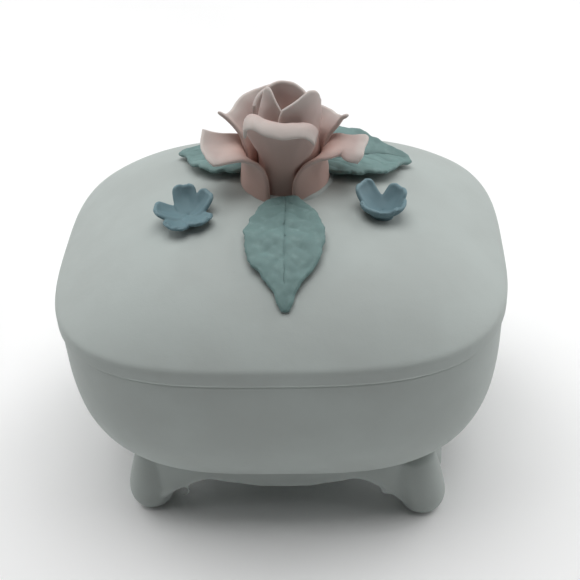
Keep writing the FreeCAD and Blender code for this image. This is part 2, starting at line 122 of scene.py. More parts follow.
def curve(table, t):
    """Value at t of a smooth curve through a table of (place, value)."""
    t = min(max(t, table[0][0]), table[-1][0])
    k = next(i for i in range(1, len(table)) if t <= table[i][0])
    (x1, y1), (x2, y2) = table[k - 1], table[k]
    x0, y0 = table[max(k - 2, 0)]
    x3, y3 = table[min(k + 1, len(table) - 1)]
    span = x2 - x1
    slope1, slope2 = span * (y2 - y0) / (x2 - x0), span * (y3 - y1) / (x3 - x1)
    s = (t - x1) / span
    value = (2 * s**3 - 3 * s**2 + 1) * y1 + (s**3 - 2 * s**2 + s) * slope1
    return value + (3 * s**2 - 2 * s**3) * y2 + (s**3 - s**2) * slope2


def lid_height(x, y):
    """Height of the lid's top at (x, y)."""
    half_x, half_y = LID_X - LID_SHOULDER, LID_Y - LID_SHOULDER
    share = (abs(x / half_x) ** PLAN_POWER + abs(y / half_y) ** PLAN_POWER) ** (1 / PLAN_POWER)
    return LID_BROW_Z + DOME_RISE * (1 - share**DOME_POWER)


def add_piece(name, verts, faces, material, node, layers=None):
    """A mesh piece that rides on its node's body and stands for that node."""
    mesh = bpy.data.meshes.new(name)
    mesh.from_pydata(verts, [], faces)
    mesh.validate()
    for layer, values in (layers or {}).items():
        attribute = mesh.attributes.new(layer, "FLOAT", "POINT")
        attribute.data.foreach_set("value", values)
    mesh.shade_smooth()
    mesh.materials.append(material)
    piece = bpy.data.objects.new(name, mesh)
    bpy.context.scene.collection.objects.link(piece)
    for body, nodes in frame["record"]["behaviour"]["bodies"].items():
        if node in nodes:
            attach(piece, body)
    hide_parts(node)
    return piece


def turned(rows):
    """Closed mesh through rings of equal length, closed by a point at both ends."""
    count = len(rows[0])
    verts = [p for row in rows for p in row]
    faces = []
    for i in range(len(rows) - 1):
        for j in range(count):
            k = (j + 1) % count
            faces.append((i * count + j, i * count + k, (i + 1) * count + k, (i + 1) * count + j))
    for row, flip in ((0, True), (len(rows) - 1, False)):
        centre = len(verts)
        middle = sum((Vector(p) for p in rows[row]), Vector()) / count
        verts.append(tuple(middle))
        for j in range(count):
            a, b = row * count + j, row * count + (j + 1) % count
            faces.append((b, a, centre) if flip else (a, b, centre))
    return verts, faces


def pillow(middle, half_thick, soft, nu, nv, length, width):
    """Closed thin solid about the surface middle(u, v), u from -1 to 1 and v from 0 to 1, with a rounded rim.

    half_thick(u, v) is half its thickness away from the rim, and soft the distance over which the rim rounds off.
    Returns its vertices, its faces and each vertex's (u, v, side), where side is 1 on the face its normal leaves.
    """
    def spread(k, n, edge):
        t = k / n
        return (1 - edge) * t + edge * (0.5 - 0.5 * math.cos(math.pi * t))

    us = [-1 + 2 * spread(i, nu, 0.85) for i in range(nu + 1)]
    vs = [spread(j, nv, 0.85) for j in range(nv + 1)]
    step = 0.004
    verts, marks, index = [], [], {}
    for i, u in enumerate(us):
        for j, v in enumerate(vs):
            point = middle(u, v)
            on_rim = i in (0, nu) or j in (0, nv)
            if on_rim:
                index[i, j, 1] = index[i, j, -1] = len(verts)
                verts.append(tuple(point))
                marks.append((u, v, 0.0))
                continue
            u0, u1 = max(-1, u - step), min(1, u + step)
            v0, v1 = max(0, v - step), min(1, v + step)
            normal = (middle(u1, v) - middle(u0, v)).cross(middle(u, v1) - middle(u, v0)).normalized()
            gap = min((1 - abs(u)) * width(v), (1 - v) * length, v * length) / soft
            round_off = math.sqrt(max(0.0, 1 - (1 - min(1.0, gap)) ** 2))
            for side in (1, -1):
                index[i, j, side] = len(verts)
                verts.append(tuple(point + normal * side * half_thick(u, v) * round_off))
                marks.append((u, v, float(side)))
    faces = []
    for i in range(nu):
        for j in range(nv):
            corners = [(i, j), (i + 1, j), (i + 1, j + 1), (i, j + 1)]
            faces.append(tuple(index[a, b, 1] for a, b in corners))
            faces.append(tuple(index[a, b, -1] for a, b in reversed(corners)))
    return verts, faces, marks


# ---- materials ------------------------------------------------------------------------------------------------
class Nodes:
    """Short hand for building one material's nodes."""

    def __init__(self, name):
        self.material = bpy.data.materials.new(name)
        self.material.use_nodes = True
        self.tree = self.material.node_tree
        self.shader = self.tree.nodes["Principled BSDF"]
        place = self.tree.nodes.new("ShaderNodeTexCoord")
        self.place = place.outputs["Object"]

    def add(self, kind, inputs=None, **settings):
        node = self.tree.nodes.new(kind)
        for key, value in settings.items():
            setattr(node, key, value)
        for key, value in (inputs or {}).items():
            if isinstance(value, bpy.types.NodeSocket):
                self.tree.links.new(value, node.inputs[key])
            else:
                node.inputs[key].default_value = value
        return node

    def noise(self, size, detail=3.0, roughness=0.5):
        """Noise whose features are about size metres across."""
        inputs = {"Vector": self.place, "Scale": 1 / size, "Detail": detail, "Roughness": roughness}
        return self.add("ShaderNodeTexNoise", inputs).outputs["Fac"]

    def ramp(self, value, low, high):
        """value stretched so that low gives 0 and high gives 1."""
        inputs = {"Value": value, "From Min": low, "From Max": high}
        return self.add("ShaderNodeMapRange", inputs, interpolation_type="SMOOTHSTEP").outputs["Result"]

    def mix(self, share, first, second):
        node = self.add("ShaderNodeMix", data_type="RGBA")
        for socket, value in ((node.inputs["Factor"], share), (node.inputs["A"], first), (node.inputs["B"], second)):
            if isinstance(value, bpy.types.NodeSocket):
                self.tree.links.new(value, socket)
            else:
                socket.default_value = value if isinstance(value, float) else (*value, 1.0)
        sockets = [s for s in node.outputs if s.type == "RGBA"]
        return sockets[0]

    def math(self, operation, first, second=0.0):
        node = self.add("ShaderNodeMath", operation=operation)
        for socket, value in zip(node.inputs, (first, second)):
            if isinstance(value, bpy.types.NodeSocket):
                self.tree.links.new(value, socket)
            else:
                socket.default_value = value
        return node.outputs["Value"]

    def layer(self, name):
        return self.add("ShaderNodeAttribute", attribute_name=name, attribute_type="GEOMETRY").outputs["Fac"]

    def bumps(self, *heights):
        """Adds bump layers of (height socket, depth in metres) on one another."""
        normal = None
        for height, depth in heights:
            inputs = {"Height": height, "Strength": 1.0, "Distance": depth}
            if normal is not None:
                inputs["Normal"] = normal
            normal = self.add("ShaderNodeBump", inputs).outputs["Normal"]
        self.tree.links.new(normal, self.shader.inputs["Normal"])

    def colour(self, socket):
        self.tree.links.new(socket, self.shader.inputs["Base Color"])


def bisque(name, base, shade, light=None):
    """Unglazed porcelain: two close tones in soft clouds, a dry tooth, and the light that thin clay lets through."""
    n = Nodes(name)
    clouds = n.ramp(n.noise(14 * MM, 4.0), 0.35, 0.68)
    colour = n.mix(clouds, shade, base)
    grain = n.noise(0.22 * MM, 2.0, 0.6)
    colour = n.mix(n.math("MULTIPLY", n.ramp(grain, 0.25, 0.75), 0.12), colour, shade)
    roughness = n.ramp(n.noise(3 * MM, 3.0), 0.0, 1.0)
    roughness = n.math("ADD", n.math("MULTIPLY", roughness, 0.14), 0.58)
    n.tree.links.new(roughness, n.shader.inputs["Roughness"])
    n.bumps((n.noise(2.6 * MM, 3.0), 0.05 * MM), (grain, 0.014 * MM))
    n.shader.inputs["Specular IOR Level"].default_value = 0.32
    n.shader.inputs["Subsurface Weight"].default_value = 0.12
    n.shader.inputs["Subsurface Radius"].default_value = light or (1.0, 0.95, 0.9)
    n.shader.inputs["Subsurface Scale"].default_value = 0.9 * MM
    return n, colour


WHITE = (0.440, 0.484, 0.467)
WHITE_SHADE = (0.415, 0.452, 0.436)


def white_material(name):
    n, colour = bisque(name, WHITE, WHITE_SHADE)
    n.colour(colour)
    return n.material


def petal_material():
    """Pink clay that pales to its edges and deepens to salmon down inside the flower."""
    n, colour = bisque("pink_bisque", (0.53, 0.445, 0.415), (0.49, 0.395, 0.37), (1.0, 0.6, 0.5))
    colour = n.mix(n.layer("blush"), colour, (0.62, 0.365, 0.30))
    colour = n.mix(n.layer("pale"), colour, (0.58, 0.55, 0.52))
    n.colour(colour)
    return n.material


def leaf_material():
    """Green clay, paler where the mould's relief was rubbed and darker in the veins, with painted shade darkening the
    whole front leaf for the rose's shadow.
    """
    n, colour = bisque("green_bisque", (0.190, 0.292, 0.283), (0.155, 0.243, 0.236), (0.6, 1.0, 0.9))
    # This layer darkens the veins, and on the front leaf it also paints the rose's shadow as shade over the whole leaf.
    colour = n.mix(n.layer("vein_and_painted_shade"), colour, (0.105, 0.175, 0.171))
    mottle = n.ramp(n.noise(1.6 * MM, 3.0), 0.45, 0.75)
    colour = n.mix(n.math("MULTIPLY", mottle, 0.35), colour, (0.24, 0.35, 0.335))
    n.colour(colour)
    return n.material


def flower_material():
    n, colour = bisque("blue_bisque", (0.150, 0.240, 0.268), (0.132, 0.212, 0.242), (0.6, 0.9, 1.0))
    colour = n.mix(n.layer("pale"), colour, (0.24, 0.345, 0.38))
    n.colour(colour)
    return n.material


MAT_BOWL = white_material("white_bisque_bowl")
MAT_PETAL = petal_material()
MAT_LEAF = leaf_material()
MAT_FLOWER = flower_material()


# ---- bowl and lid ---------------------------------------------------------------------------------------------
def uneven(x, y, z, depth, size=22 * MM):
    """Slow waviness of a hand-finished cast surface."""
    return depth * noise.noise(Vector((x, y, z)) / size)


def plan_rows(profile, power=PLAN_POWER, depth=0.12 * MM):
    """Rings of the plan outline for a profile of (half x, half y, height)."""
    rows = []
    for half_x, half_y, z in profile:
        row = []
        for i in range(COLUMNS):
            x, y = plan_point(half_x, half_y, 2 * math.pi * i / COLUMNS, power)
            swell = 1 + uneven(x, y, z, depth) / LID_X
            row.append((x * swell, y * swell, z))
        rows.append(row)
    return rows


def inset_profile(points, per):
    """Profile of (half x, half y, height) from a smooth curve through (inset, height)."""
    return [(LID_X - inset, LID_Y - inset, z) for inset, z in catmull(points, per)]


def flat_profile(half_x, half_y, z, inwards):
    """Rings across a flat, out from the middle, or inwards to it."""
    shares = [0.06, 0.2, 0.4, 0.6, 0.8, 0.92]
    rings = [(half_x * s, half_y * s, z) for s in shares]
    return rings[::-1] if inwards else rings


def bowl_inset(z):
    depth = (SEAM_Z - z) / (SEAM_Z - BOWL_FLOOR_Z)
    return BOWL_OVERHANG + (BOWL_INSET - BOWL_OVERHANG) * max(0.0, depth) ** BOWL_POWER


def make_bowl():
    ease = 0.6 * MM
    under = BOWL_INSET + 2.8 * MM
    outside = [(under, BOWL_LOW.z), (BOWL_INSET + 1.0 * MM, BOWL_FLOOR_Z - 1.0 * MM)]
    outside += [(bowl_inset(z * MM), z * MM) for z in (12.4, 14.0, 16.5, 20.0, 25.0, 31.0, 37.0, 41.0)]
    outside += [
        (BOWL_OVERHANG, SEAM_Z - ease),
        (BOWL_OVERHANG + 0.3 * ease, SEAM_Z - 0.3 * ease),
        (BOWL_OVERHANG + ease, SEAM_Z),
        (BOWL_OVERHANG + BOWL_WALL / 2, SEAM_Z),
        (BOWL_OVERHANG + BOWL_WALL - ease, SEAM_Z),
        (BOWL_OVERHANG + BOWL_WALL - 0.3 * ease, SEAM_Z - 0.3 * ease),
        (BOWL_OVERHANG + BOWL_WALL, SEAM_Z - ease),
    ]
    floor_z = BOWL_LOW.z + FLOOR_WALL
    outside += [(bowl_inset(z * MM) + BOWL_WALL, z * MM) for z in (38.0, 33.0, 28.0, 24.0, 21.0, 18.5)]
    last = BOWL_INSET + BOWL_WALL + 2.0 * MM
    outside += [(BOWL_INSET + BOWL_WALL - 0.8 * MM, floor_z + 2.0 * MM), (last, floor_z)]
    profile = flat_profile(LID_X - under, LID_Y - under, BOWL_LOW.z, False)
    profile += inset_profile(outside, 5)
    profile += flat_profile(LID_X - last, LID_Y - last, floor_z, True)
    verts, faces = turned(plan_rows(profile))
    add_piece("bowl", verts, faces, MAT_BOWL, "base_bowl")


def dome_profile(half_x, half_y, base_z, shares):
    return [(half_x * s, half_y * s, base_z + DOME_RISE * (1 - s**DOME_POWER)) for s in shares]


def make_lid():
    shares = [0.05 + 0.945 * (k / 40) ** 0.8 for k in range(41)]
    edge_z = SEAM_Z + LID_BAND
    profile = dome_profile(LID_X - LID_SHOULDER, LID_Y - LID_SHOULDER, LID_BROW_Z, shares)
    edge = []
    for share in (0.85, 0.65, 0.45, 0.2, 0.0):
        turn = math.radians(LID_TURN * share)
        edge.append((LID_SOFT * (1 - math.cos(turn)), edge_z + LID_SOFT * math.sin(turn)))
    ease = 0.5 * MM
    mouth = BOWL_OVERHANG + BOWL_WALL + FLANGE_GAP
    low_z = SEAM_Z - FLANGE_DROP
    bore = mouth + FLANGE_WALL
    edge += [
        (0.0, SEAM_Z + LID_BAND * 0.55),
        (0.0, SEAM_Z + ease),
        (0.3 * ease, SEAM_Z + 0.3 * ease),
        (ease, SEAM_Z),
        (mouth - 1.2 * MM, SEAM_Z),
        (mouth - 0.25 * MM, SEAM_Z - 0.1 * MM),
        (mouth, SEAM_Z - 0.5 * MM),
        (mouth, low_z + ease),
        (mouth + 0.3 * ease, low_z + 0.3 * ease),
        (mouth + ease, low_z),
        (bore - ease, low_z),
        (bore - 0.3 * ease, low_z + 0.3 * ease),
        (bore, low_z + ease),
        (bore, SEAM_Z),
        (bore, SEAM_Z + 1.2 * MM),
    ]
    profile += inset_profile(edge, 5)
    hollow = dome_profile(LID_X - bore, LID_Y - bore, SEAM_Z + 1.5 * MM, shares)
    profile += [(x, y, z - 0.5 * MM) for x, y, z in reversed(hollow[:-2])]
    verts, faces = turned(plan_rows(profile))
    add_piece("lid_dome", verts, faces, MAT_BOWL, "lid")


# ---- stand ----------------------------------------------------------------------------------------------------
APRON_APEX_Z = 9.2 * MM
APRON_MIDDLE_Z = 7.1 * MM
APRON = [  # share of the way from the apron's middle to its foot, height of its lower edge
    (0.0, APRON_MIDDLE_Z),
    (0.10, APRON_MIDDLE_Z + 0.15 * MM),
    (0.20, APRON_MIDDLE_Z + 0.2 * MM),
    (0.34, APRON_MIDDLE_Z + 0.95 * MM),
    (0.47, APRON_MIDDLE_Z + 1.5 * MM),
    (0.58, APRON_APEX_Z),
    (0.70, APRON_APEX_Z - 1.0 * MM),
    (0.84, 0.60 * APRON_APEX_Z),
    (0.94, 0.26 * APRON_APEX_Z),
    (1.0, 0.0),
]
SPAN_LEFT, SPAN_RIGHT, SPAN_SIDE = 25.8 * MM, 23.4 * MM, 21.0 * MM
FEET = [(-26.9, -23.1), (26.4, -24.9), (26.7, 24.0), (-26.7, 24.0)]  # in millimetres
KNEE = 1.5  # how far the skirt swells outwards on its way to a foot, in millimetres
FOOT_SECTIONS = [  # height, drawn in towards the middle in x and in y, radius, in millimetres
    (0.0, 0.0, 0.0, 1.9),
    (0.25, 0.0, 0.0, 2.9),
    (0.9, 0.0, 0.0, 3.7),
    (2.0, 0.0, 0.1, 4.3),
    (4.0, 0.1, 0.4, 4.7),
    (8.0, 0.8, 0.9, 4.6),
    (12.0, 1.8, 1.9, 4.4),
    (12.8, 2.1, 2.3, 4.1),
    (13.4, 2.5, 2.7, 3.2),
]


def skirt_mesh():
    """The stand's skirt as a closed ring with scalloped lower edges."""
    rows = []
    top = BOWL_LOW.z + 2.4 * MM
    for i in range(COLUMNS):
        angle = 2 * math.pi * i / COLUMNS
        x, y = plan_point(STAND_X, STAND_Y, angle, STAND_POWER)
        front = abs(y / STAND_Y) > abs(x / STAND_X)
        share = abs(x) / (SPAN_LEFT if x < 0 else SPAN_RIGHT) if front else abs(y) / SPAN_SIDE
        low = max(0.8 * MM, curve(APRON, share))
        inwards = Vector((x / STAND_X**2, y / STAND_Y**2, 0)).normalized()
        ring = []
        swell = KNEE * smooth((share - 0.52) / 0.4)
        for depth, height in ((0.3 - 0.4 * swell, top), (0.1 - swell, low + 2.2 * MM), (-0.2 - swell, low + 0.9 * MM)):
            ring.append(Vector((x, y, height)) - inwards * depth * MM)
        ring.append(Vector((x, y, low + 0.1 * MM)) - inwards * (0.3 - 0.8 * swell) * MM)
        for depth, height in ((STAND_WALL - 0.5 * MM, low), (STAND_WALL, low + 0.6 * MM), (STAND_WALL, top)):
            ring.append(Vector((x, y, height)) - inwards * depth)
        rows.append(ring)
    count = len(rows[0])
    verts = [tuple(p) for row in rows for p in row]
    faces = []
    for i in range(len(rows)):
        n = (i + 1) % len(rows)
        for j in range(count):
            k = (j + 1) % count
            faces.append((i * count + j, i * count + k, n * count + k, n * count + j))
    return verts, faces


def foot_mesh(foot_x, foot_y):
    """One toe as a closed stack of rings."""
    rows = []
    for z, in_x, in_y, radius in catmull(FOOT_SECTIONS, 4):
        middle_x = foot_x - math.copysign(in_x, foot_x)
        middle_y = foot_y - math.copysign(in_y, foot_y)
        row = []
        for i in range(48):
            angle = 2 * math.pi * i / 48
            x, y = middle_x + radius * math.cos(angle), middle_y + radius * math.sin(angle)
            row.append((x * MM, y * MM, z * MM))
        rows.append(row)
    return turned(rows)


def scroll_mesh(sign_x, foot_x, foot_y):
    """Faint raised curl pressed on the skirt beside a front foot."""
    path = []
    for k in range(25):
        turn = 1.5 * math.pi * k / 24
        reach = 2.5 - 1.5 * k / 24
        x = foot_x - sign_x * (6.4 - reach * math.cos(turn))
        path.append(Vector((x * MM, (foot_y + 0.30) * MM, (6.2 + reach * math.sin(turn)) * MM)))
    rows = []
    for k, middle in enumerate(path):
        before, after = path[max(k - 1, 0)], path[min(k + 1, len(path) - 1)]
        forward = (after - before).normalized()
        aside = forward.cross(Vector((0, 1, 0)))
        thick = (0.42 - 0.14 * k / 24) * MM
        rows.append([
            tuple(middle + (aside * math.cos(a) + Vector((0, math.sin(a), 0))) * thick)
            for a in (2 * math.pi * j / 12 for j in range(12))
        ])
    return turned(rows)


def join_raw(name, parts):
    """One mesh object of several closed meshes, not yet a piece."""
    verts, faces = [], []
    for part_verts, part_faces in parts:
        start = len(verts)
        verts += part_verts
        faces += [tuple(start + k for k in face) for face in part_faces]
    mesh = bpy.data.meshes.new(name)
    mesh.from_pydata(verts, [], faces)
    raw = bpy.data.objects.new(name, mesh)
    bpy.context.scene.collection.objects.link(raw)
    return raw


def melted(raw, voxel, passes):
    """Vertices and faces of raw after its overlapping solids are made one and its creases softened."""
    remesh = raw.modifiers.new("one_solid", "REMESH")
    remesh.mode = "VOXEL"
    remesh.voxel_size = voxel
    soften = raw.modifiers.new("soften", "SMOOTH")
    soften.factor = 0.5
    soften.iterations = passes
    bpy.context.view_layer.update()
    baked = raw.evaluated_get(bpy.context.evaluated_depsgraph_get()).to_mesh()
    verts = [v.co.copy() for v in baked.vertices]
    faces = [tuple(p.vertices) for p in baked.polygons]
    raw.evaluated_get(bpy.context.evaluated_depsgraph_get()).to_mesh_clear()
    bpy.data.objects.remove(raw)
    return verts, faces


def make_stand():
    parts = [skirt_mesh()]
    parts += [foot_mesh(foot_x, foot_y) for foot_x, foot_y in FEET]
    parts += [scroll_mesh(-1, FEET[0][0], -STAND_Y / MM), scroll_mesh(1, FEET[1][0], -STAND_Y / MM)]
    verts, faces = melted(join_raw("stand_raw", parts), 0.36 * MM, 12)
    low = min(v.z for v in verts)
    verts = [(v.x, v.y, max(0.0, v.z - low)) for v in verts]
    add_piece("stand", verts, faces, MAT_BOWL, "footed_stand")


# ---- rose -----------------------------------------------------------------------------------------------------
PATH_STEPS = 60
# Each petal's tables, in millimetres, degrees and shares of its length and half-width. "lean" is how far it leans
# out from upright along its length, and lean_minus and lean_plus add to that towards its clockwise and its
# anticlockwise edge. "minus" and "plus" are the half-widths to those edges ("edges" when both are the same), and
# "crest" is how long it is from edge to edge.
PETALS = {
    "rose_bud_petal_left": {
        "bearing": 229, "base": 4.4, "length": 20.6, "wrap": 5.4, "thick": 0.9, "seed": 1.0,
        "lean": [(0, 0), (0.3, -1), (1, -7)],
        "edges": [(0, 4.8), (0.5, 5.0), (0.8, 4.8), (1, 4.2)],
        "crest": [(-1, 0.66), (-0.7, 0.82), (-0.45, 0.93), (-0.2, 1.0), (0.0, 0.99), (0.3, 0.9), (0.65, 0.78), (1, 0.66)],
    },
    "rose_bud_petal_right": {
        "bearing": -36, "base": 4.9, "length": 19.6, "wrap": 6.6, "thick": 0.9, "seed": 2.0,
        "lean": [(0, 5), (0.5, 6), (0.85, 5), (1, 8)],
        "edges": [(0, 5.4), (0.5, 6.2), (0.85, 6.6), (1, 6.2)],
        "crest": [(-1, 0.94), (-0.7, 1.02), (-0.4, 1.08), (-0.1, 1.08), (0.2, 1.02), (0.4, 0.95), (0.7, 0.84), (1, 0.72)],
    },
    "rose_bud_petal_back": {
        "bearing": 98, "base": 5.0, "length": 17.4, "wrap": 6.0, "thick": 0.9, "seed": 3.0,
        "lean": [(0, 0), (0.3, 2), (1, 9)],
        "edges": [(0, 5.6), (0.6, 6.2), (1, 6.4)],
        "crest": [(-1, 0.84), (-0.75, 0.92), (-0.4, 0.98), (0, 1.0), (0.4, 0.98), (0.75, 0.92), (1, 0.84)],
    },
    "rose_outer_petal_front": {
        "bearing": -96, "base": 7.0, "length": 21.4, "wrap": 8.5, "thick": 0.9, "seed": 4.0,
        "lean": [(0, -6), (0.2, -5), (0.45, 2), (0.68, 12), (0.78, 30), (0.87, 85), (1, 150)],
        "minus": [(0, 4.4), (0.2, 3.6), (0.38, 3.3), (0.5, 4.3), (0.62, 5.9), (0.74, 6.8), (0.88, 7.0), (1, 6.6)],
        "plus": [(0, 4.0), (0.2, 3.0), (0.36, 2.7), (0.46, 3.8), (0.56, 5.6), (0.68, 7.0), (0.84, 7.4), (1, 7.0)],
        "crest": [(-1, 0.82), (-0.85, 0.96), (-0.6, 1.02), (-0.3, 0.98), (0.15, 0.95), (0.5, 0.93), (0.75, 0.9), (0.9, 0.83), (1, 0.74)],
    },
    "rose_outer_petal_low_left": {
        "bearing": 198, "base": 8.3, "length": 15.6, "wrap": 9.0, "thick": 0.9, "seed": 5.0,
        "lean": [(0, -6), (0.25, -5), (0.42, 12), (0.56, 58), (0.7, 80), (0.86, 76), (1, 66)],
        "lean_minus": [(0, 0), (0.5, -3), (1, -9)],
        "lean_plus": [(0, 0), (0.5, 4), (1, 14)],
        "minus": [(0, 5.0), (0.5, 5.0), (0.8, 4.6), (1, 4.6)],
        "plus": [(0, 7.6), (0.3, 7.2), (0.45, 6.6), (0.6, 5.4), (0.8, 4.6), (1, 4.6)],
        "crest": [(-1, 1.04), (-0.8, 1.02), (-0.3, 0.98), (0.3, 0.97), (0.8, 0.98), (1, 0.96)],
    },
    "rose_outer_petal_low_right": {
        "bearing": -14, "base": 7.5, "length": 16.0, "wrap": 8.8, "thick": 0.9, "seed": 6.0,
        "lean": [(0, -6), (0.25, -5), (0.42, 14), (0.56, 62), (0.7, 84), (0.84, 82), (1, 84)],
        "lean_minus": [(0, 0), (0.5, 4), (0.8, 12), (1, 30)],
        "lean_plus": [(0, 0), (0.5, -3), (1, 0)],
        "minus": [(0, 9.4), (0.3, 8.4), (0.45, 7.2), (0.58, 5.4), (0.67, 4.4), (0.74, 2.9), (0.8, 3.6), (0.9, 4.4), (1, 4.0)],
        "plus": [(0, 5.0), (0.5, 4.6), (0.7, 3.7), (1, 3.3)],
        "crest": [(-1, 0.95), (-0.7, 1.0), (0, 0.98), (0.6, 1.0), (0.85, 0.98), (1, 0.93)],
    },
    "rose_outer_petal_back_left": {
        "bearing": 152, "base": 6.4, "length": 17.0, "wrap": 9.0, "thick": 0.9, "seed": 7.0,
        "lean": [(0, -2), (0.25, 0), (0.6, 20), (1, 40)],
        "lean_minus": [(0, 0), (0.5, -4), (1, -14)],
        "lean_plus": [(0, 0), (0.5, 6), (0.8, 14), (1, 18)],
        "minus": [(0, 5.0), (0.5, 6.2), (1, 7.6)],
        "plus": [(0, 5.8), (0.45, 5.2), (0.65, 5.2), (0.82, 6.0), (1, 7.2)],
        "crest": [(-1, 0.94), (-0.3, 0.9), (0.2, 0.86), (0.55, 0.87), (0.8, 0.94), (1, 1.04)],
    },
    "rose_outer_petal_back_right": {
        "bearing": 26, "base": 6.6, "length": 16.0, "wrap": 9.0, "thick": 0.9, "seed": 8.0,
        "lean": [(0, -2), (0.25, 0), (0.6, 20), (1, 42)],
        "lean_minus": [(0, 0), (0.5, 5), (0.8, 11), (0.92, 20), (1, 80)],
        "lean_plus": [(0, 0), (0.5, -4), (1, -12)],
        "minus": [(0, 5.6), (0.45, 4.8), (0.65, 4.7), (0.82, 5.8), (1, 7.0)],
        "plus": [(0, 5.0), (0.5, 6.0), (1, 7.0)],
        "crest": [(-1, 1.06), (-0.8, 0.97), (-0.5, 0.87), (-0.1, 0.8), (0.4, 0.8), (1, 0.85)],
    },
}


def petal_path(p, u):
    """Points (distance from the rose's axis, height) up the petal at u, evenly spaced along its length."""
    extra = p.get("lean_plus" if u > 0 else "lean_minus")
    step = p["length"] * curve(p["crest"], u) / PATH_STEPS
    path = [(p["base"], 0.0)]
    for k in range(PATH_STEPS):
        v = (k + 0.5) / PATH_STEPS
        angle = curve(p["lean"], v)
        if extra:
            angle += curve(extra, v) * abs(u) ** 1.6
        r, z = path[-1]
        path.append((r + step * math.sin(math.radians(angle)), z + step * math.cos(math.radians(angle))))
    return path


def petal_half(p, u, v):
    """Half-width of the petal at v on the side that u is on."""
    return curve(p.get("plus" if u > 0 else "minus") or p["edges"], v)


def petal_middle(p):
    """The middle surface of a petal as a function of u and v, in metres."""
    bearing = math.radians(p["bearing"])
    out = Vector((math.cos(bearing), math.sin(bearing), 0))
    side = Vector((-math.sin(bearing), math.cos(bearing), 0))
    paths = {}

    def point(u, v):
        if u not in paths:
            paths[u] = petal_path(p, u)
        path = paths[u]
        at = min(v * PATH_STEPS, PATH_STEPS - 0.001)
        share = at - int(at)
        low, high = path[int(at)], path[int(at) + 1]
        r = low[0] * (1 - share) + high[0] * share
        z = low[1] * (1 - share) + high[1] * share
        turn = u * petal_half(p, u, v) / p["wrap"]
        r -= p["wrap"] * (1 - math.cos(turn))
        place = out * r + side * (p["wrap"] * math.sin(turn)) + Vector((0, 0, z))
        slow = noise.noise_vector(place / 5.0 + Vector((p["seed"] * 7, 0, 0))) * 0.45
        fine = noise.noise_vector(place / 1.7 + Vector((0, p["seed"] * 5, 0))) * 0.10
        return ROSE + (place + (slow + fine) * smooth(v * 1.5)) * MM

    return point


def make_petal(name, p):
    def half_thick(u, v):
        return 0.5 * p["thick"] * (1.2 - 0.4 * v) * MM

    def width(v):
        return min(petal_half(p, -1, v), petal_half(p, 1, v)) * MM

    verts, faces, marks = pillow(petal_middle(p), half_thick, 0.5 * MM, 52, 72, p["length"] * MM, width)
    blush, pale = [], []
    for u, v, side in marks:
        deep = smooth((0.9 - v) / 0.7)
        blush.append((1.0 if side < 0 else 0.5) * deep)
        rim = 0.6 * smooth((v - 0.84) / 0.16)
        rim = max(rim, 0.35 * smooth((abs(u) - 0.9) / 0.1) * smooth((v - 0.35) / 0.3))
        pale.append(rim)
    add_piece(name, verts, faces, MAT_PETAL, name, {"blush": blush, "pale": pale})


def make_rose():
    for name, p in PETALS.items():
        make_petal(name, p)


def make_core():
    """Clay cone inside the bud."""
    height = CORE_HIGH.z - CORE_LOW.z
    profile = catmull([(3.4, 0.0), (3.1, 0.2), (2.6, 0.5), (2.2, 0.75), (1.7, 0.88), (1.0, 0.97), (0.2, 1.0)], 5)
    rows = []
    for radius, share in profile:
        row = []
        for i in range(40):
            angle = 2 * math.pi * i / 40
            spiral = 1 + 0.07 * math.sin(2 * angle + 9 * share)
            r = radius * MM * spiral
            row.append((ROSE.x + r * math.cos(angle), ROSE.y + r * math.sin(angle), ROSE.z + share * height))
        rows.append(row)
    verts, faces = turned(rows)
    values = [0.8] * len(verts)
    add_piece("rose_core", verts, faces, MAT_PETAL, "rose_core", {"blush": values})


def make_collar():
    """Smeared ring of slip that the rose is bedded in."""
    rows = []
    profile = [(8.9, -0.55), (8.75, -0.1), (8.4, 0.35), (7.8, 0.62), (7.0, 0.6), (5.5, 0.5), (3.0, 0.5), (0.4, 0.5)]
    for radius, height in catmull(profile, 4):
        row = []
        for i in range(120):
            angle = 2 * math.pi * i / 120
            r = radius * MM * (1 + 0.05 * noise.noise(Vector((math.cos(angle), math.sin(angle), 0.3)) * 1.8))
            x, y = ROSE.x + r * math.cos(angle), ROSE.y + r * math.sin(angle)
            ripple = 0.14 * noise.noise(Vector((x, y, 0)) / (2.4 * MM))
            row.append((x, y, lid_height(x, y) + (height + ripple) * MM))
        rows.append(row)
    verts, faces = turned(rows)
    add_piece("rose_collar", verts, faces, MAT_BOWL, "rose_collar")


# ---- leaves ---------------------------------------------------------------------------------------------------
# The last number of each leaf darkens the whole leaf with painted shade: the front leaf lies in the rose's shadow, the
# back leaves get none.
LEAVES = {
    "leaf_front": {
        "bearing": -90.0, "start": 7.8, "length": 25.0, "half": 7.0, "sweep": -0.4, "lift": 0.7, "level": 0.0,
        "raise_left": 0.0, "seed": 0.0, "painted_shade": 0.35,
    },
    "leaf_back_right": {
        "bearing": 27.0, "start": 4.5, "length": 20.0, "half": 7.6, "sweep": 3.4, "lift": 1.3, "level": 0.75,
        "raise_left": 1.8, "seed": 3.0, "painted_shade": 0.0,
    },
    "leaf_back_left": {
        "bearing": 152.0, "start": 4.0, "length": 20.4, "half": 6.5, "sweep": 0.0, "lift": 1.3, "level": 0.6,
        "raise_left": 0.0, "seed": 6.0, "painted_shade": 0.0,
    },
}
LEAF_WIDTHS = [  # share of the length from the stalk, half-width as a share of the widest
    (0.0, 0.14),
    (0.04, 0.36),
    (0.13, 0.60),
    (0.27, 0.87),
    (0.42, 1.0),
    (0.55, 0.99),
    (0.67, 0.88),
    (0.76, 0.66),
    (0.84, 0.41),
    (0.90, 0.26),
    (0.95, 0.21),
    (1.0, 0.09),
]
VEINS = (0.02, 0.17, 0.32, 0.47, 0.61)  # where the side veins leave the midrib
VEIN_SLANT = 0.22  # how far a side vein runs towards the tip on its way to the edge


